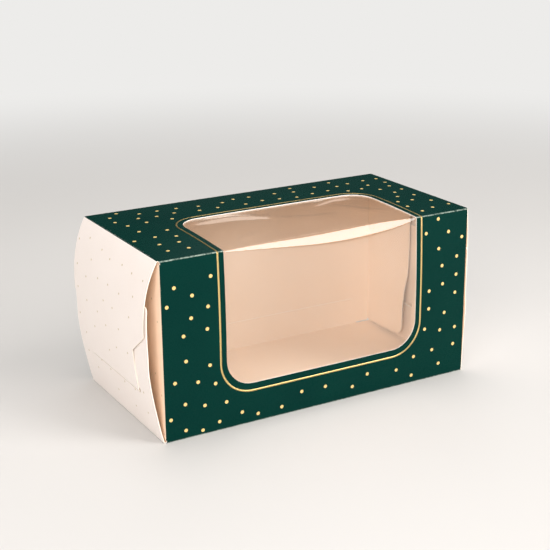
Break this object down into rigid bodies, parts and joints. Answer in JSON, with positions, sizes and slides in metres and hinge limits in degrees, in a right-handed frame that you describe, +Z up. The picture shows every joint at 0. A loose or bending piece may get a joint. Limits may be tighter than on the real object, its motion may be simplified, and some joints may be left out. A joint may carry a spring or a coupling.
{
  "type": "yule log box",
  "caption": "Folding-board yule log box: a long four-panel sleeve with a clear film window over its top front edge and tuck-locked flaps closing both ends.",
  "frame": {"origin": "middle of the underside of the base, on the table", "axes": "+Z up, +X along the length of the box towards its right end, -Y towards the side with the window"},
  "size_m": [0.2373, 0.1187, 0.117],
  "materials": {
    "printed_board": "dark green print on cream board, satin, with small gold foil dots",
    "cream_board": "uncoated cream",
    "clear_film": "clear glossy window film"
  },
  "bodies": {
    "sleeve": {"base_panel": "printed_board", "back_panel": "printed_board", "front_panel": "printed_board", "top_panel": "printed_board", "glue_flap": "cream_board", "window_film": "clear_film"},
    "left_cover": {"left_cover_flap": "cream_board"},
    "left_tab": {"left_tuck_tab": "cream_board"},
    "left_lower": {"left_lower_flap": "cream_board"},
    "left_front_dust": {"left_front_dust_flap": "cream_board"},
    "left_back_dust": {"left_back_dust_flap": "cream_board"},
    "right_cover": {"right_cover_flap": "cream_board"},
    "right_tab": {"right_tuck_tab": "cream_board"},
    "right_lower": {"right_lower_flap": "cream_board"},
    "right_front_dust": {"right_front_dust_flap": "cream_board"},
    "right_back_dust": {"right_back_dust_flap": "cream_board"}
  },
  "joints": [
    {"name": "left_cover_hinge", "type": "hinge", "parent": "sleeve", "child": "left_cover", "pos_m": [-0.1125, 0, 0.115], "axis": [0, 1, 0], "range_deg": [0, 230]},
    {"name": "left_tab_fold", "type": "hinge", "parent": "left_cover", "child": "left_tab", "pos_m": [-0.11901, 0, 0.029], "axis": [0, 1, 0], "range_deg": [0, 75]},
    {"name": "left_lower_hinge", "type": "hinge", "parent": "sleeve", "child": "left_lower", "pos_m": [-0.1125, 0, 0], "axis": [0, -1, 0], "range_deg": [0, 72]},
    {"name": "left_front_dust_hinge", "type": "hinge", "parent": "sleeve", "child": "left_front_dust", "pos_m": [-0.1112, -0.05645, 0.0575], "axis": [0, 0, -1], "range_deg": [0, 78]},
    {"name": "left_back_dust_hinge", "type": "hinge", "parent": "sleeve", "child": "left_back_dust", "pos_m": [-0.1112, 0.05645, 0.0575], "axis": [0, 0, 1], "range_deg": [0, 78]},
    {"name": "right_cover_hinge", "type": "hinge", "parent": "sleeve", "child": "right_cover", "pos_m": [0.1125, 0, 0.115], "axis": [0, -1, 0], "range_deg": [0, 250]},
    {"name": "right_tab_fold", "type": "hinge", "parent": "right_cover", "child": "right_tab", "pos_m": [0.11416, 0, 0.029], "axis": [0, -1, 0], "range_deg": [0, 80]},
    {"name": "right_lower_hinge", "type": "hinge", "parent": "sleeve", "child": "right_lower", "pos_m": [0.1125, 0, 0], "axis": [0, 1, 0], "range_deg": [0, 78]},
    {"name": "right_front_dust_hinge", "type": "hinge", "parent": "sleeve", "child": "right_front_dust", "pos_m": [0.1112, -0.05645, 0.0575], "axis": [0, 0, 1], "range_deg": [0, 76]},
    {"name": "right_back_dust_hinge", "type": "hinge", "parent": "sleeve", "child": "right_back_dust", "pos_m": [0.1112, 0.05645, 0.0575], "axis": [0, 0, -1], "range_deg": [0, 76]}
  ],
  "couplings": [
    {"joint": "left_tab_fold", "follows": "left_cover_hinge", "ratio": 0.32},
    {"joint": "left_lower_hinge", "follows": "left_cover_hinge", "ratio": 0.31},
    {"joint": "right_tab_fold", "follows": "right_cover_hinge", "ratio": 0.32},
    {"joint": "right_lower_hinge", "follows": "right_cover_hinge", "ratio": 0.31}
  ]
}
